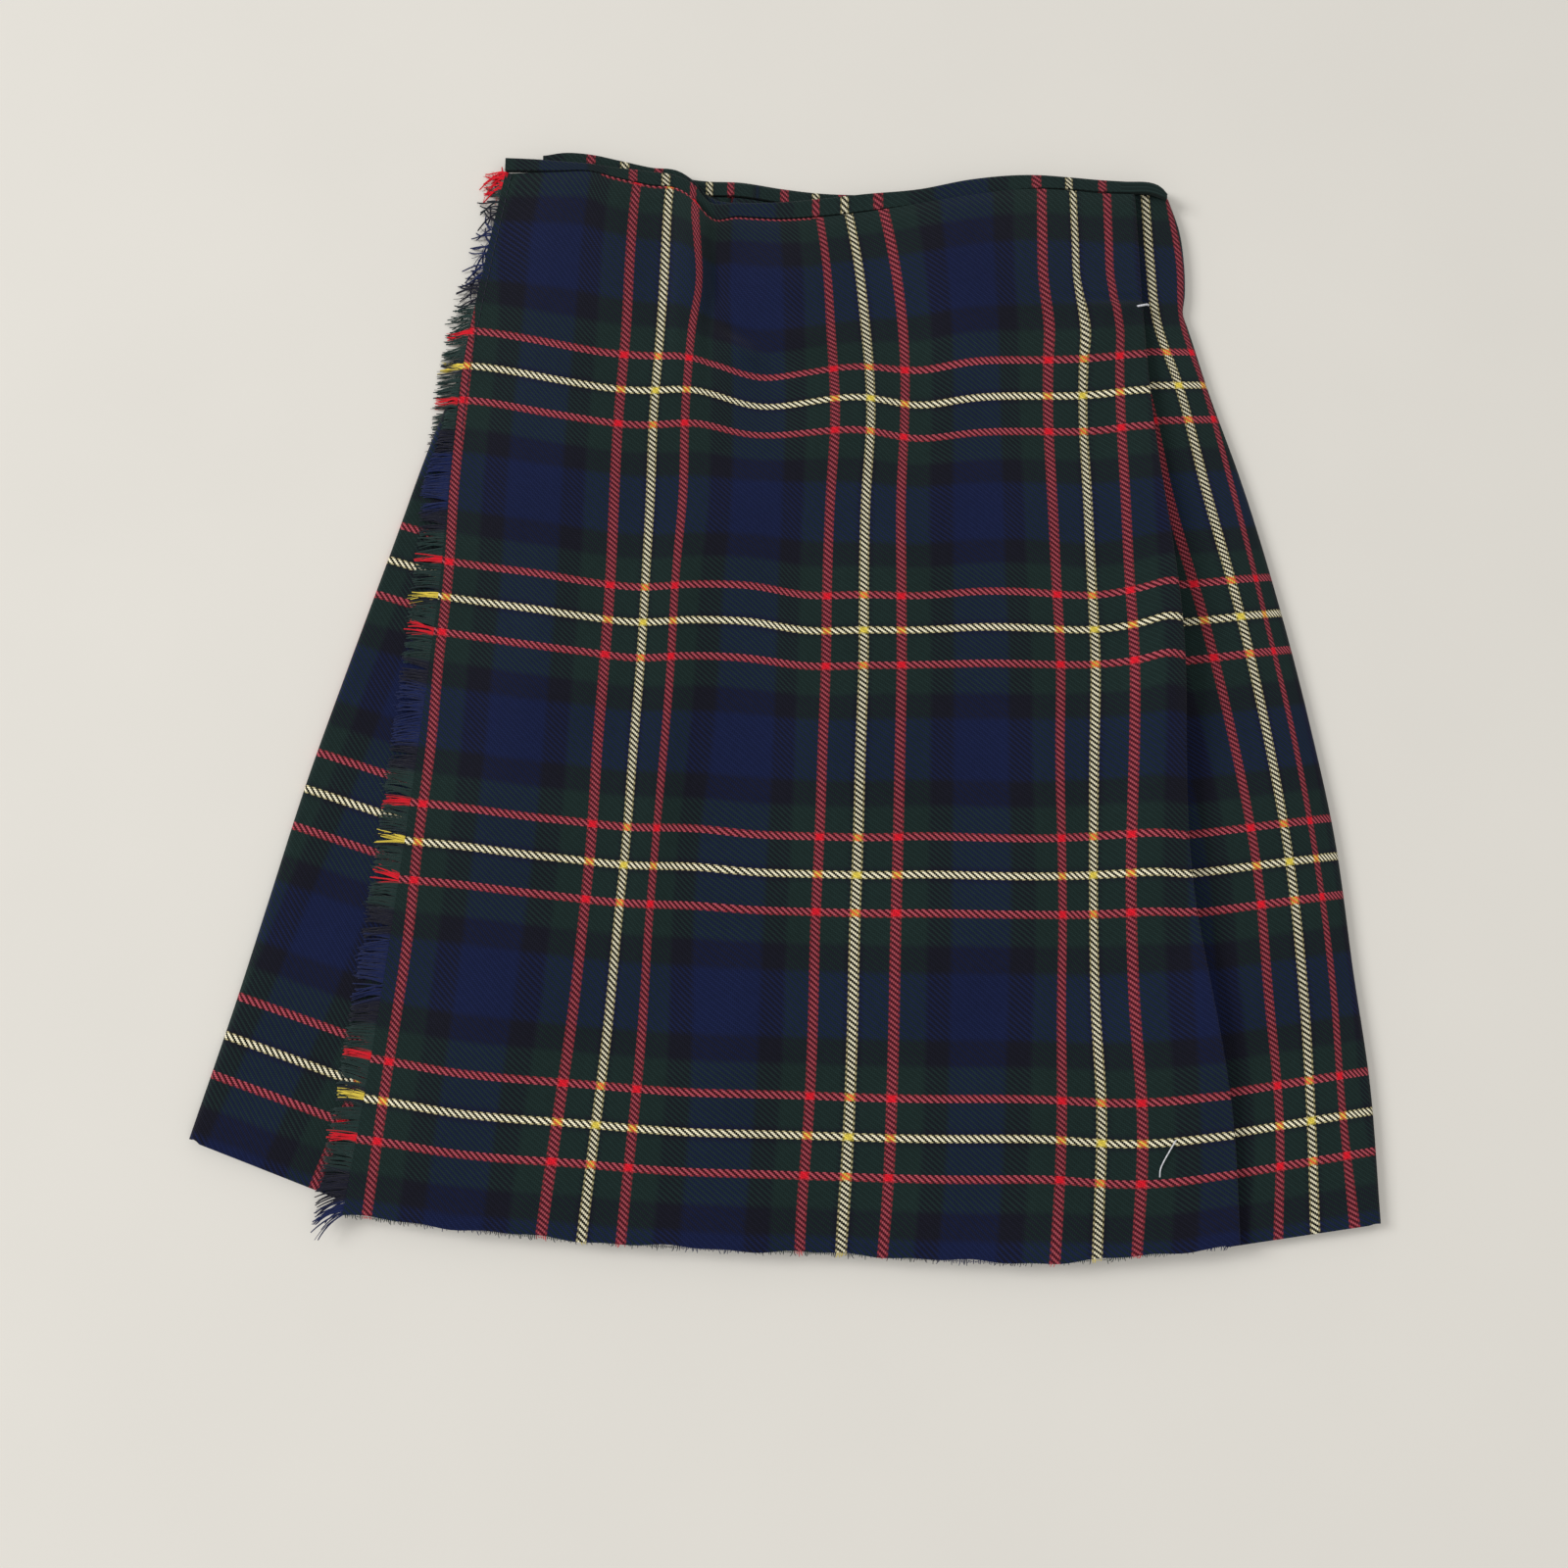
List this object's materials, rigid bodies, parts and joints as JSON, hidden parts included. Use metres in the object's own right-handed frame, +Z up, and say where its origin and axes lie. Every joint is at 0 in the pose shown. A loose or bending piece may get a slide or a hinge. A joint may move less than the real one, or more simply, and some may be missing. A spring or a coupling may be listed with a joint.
{
  "type": "tartan wrap kilt",
  "caption": "Child's tartan wool wrap kilt laid flat, front up: fringed over apron, side panels, hidden under apron, knife-pleated back and narrow waistbands.",
  "frame": {"origin": "middle of the kilt's footprint, on the surface that it lies on", "axes": "+Y towards the waist, +X towards the folded edge of the over apron (the wearer's left), +Z up out of the front"},
  "size_m": [0.461, 0.469, 0.0134],
  "materials": {
    "tartan_wool_twill": "matt wool twill, navy, dark green and black checks with fine red and yellow lines",
    "fringed_wool_threads": "loose wool weft ends, coloured as the checks",
    "waistband_wool_twill": "matt wool twill, mostly dark green and navy"
  },
  "bodies": {
    "root": {"over_apron": "tartan_wool_twill", "under_apron": "tartan_wool_twill", "side_panel_left": "tartan_wool_twill", "side_panel_right": "tartan_wool_twill", "back_pleats": "tartan_wool_twill", "apron_fringe": "fringed_wool_threads", "waistband_front": "waistband_wool_twill", "waistband_under": "waistband_wool_twill", "waistband_back": "waistband_wool_twill"}
  },
  "joints": []
}
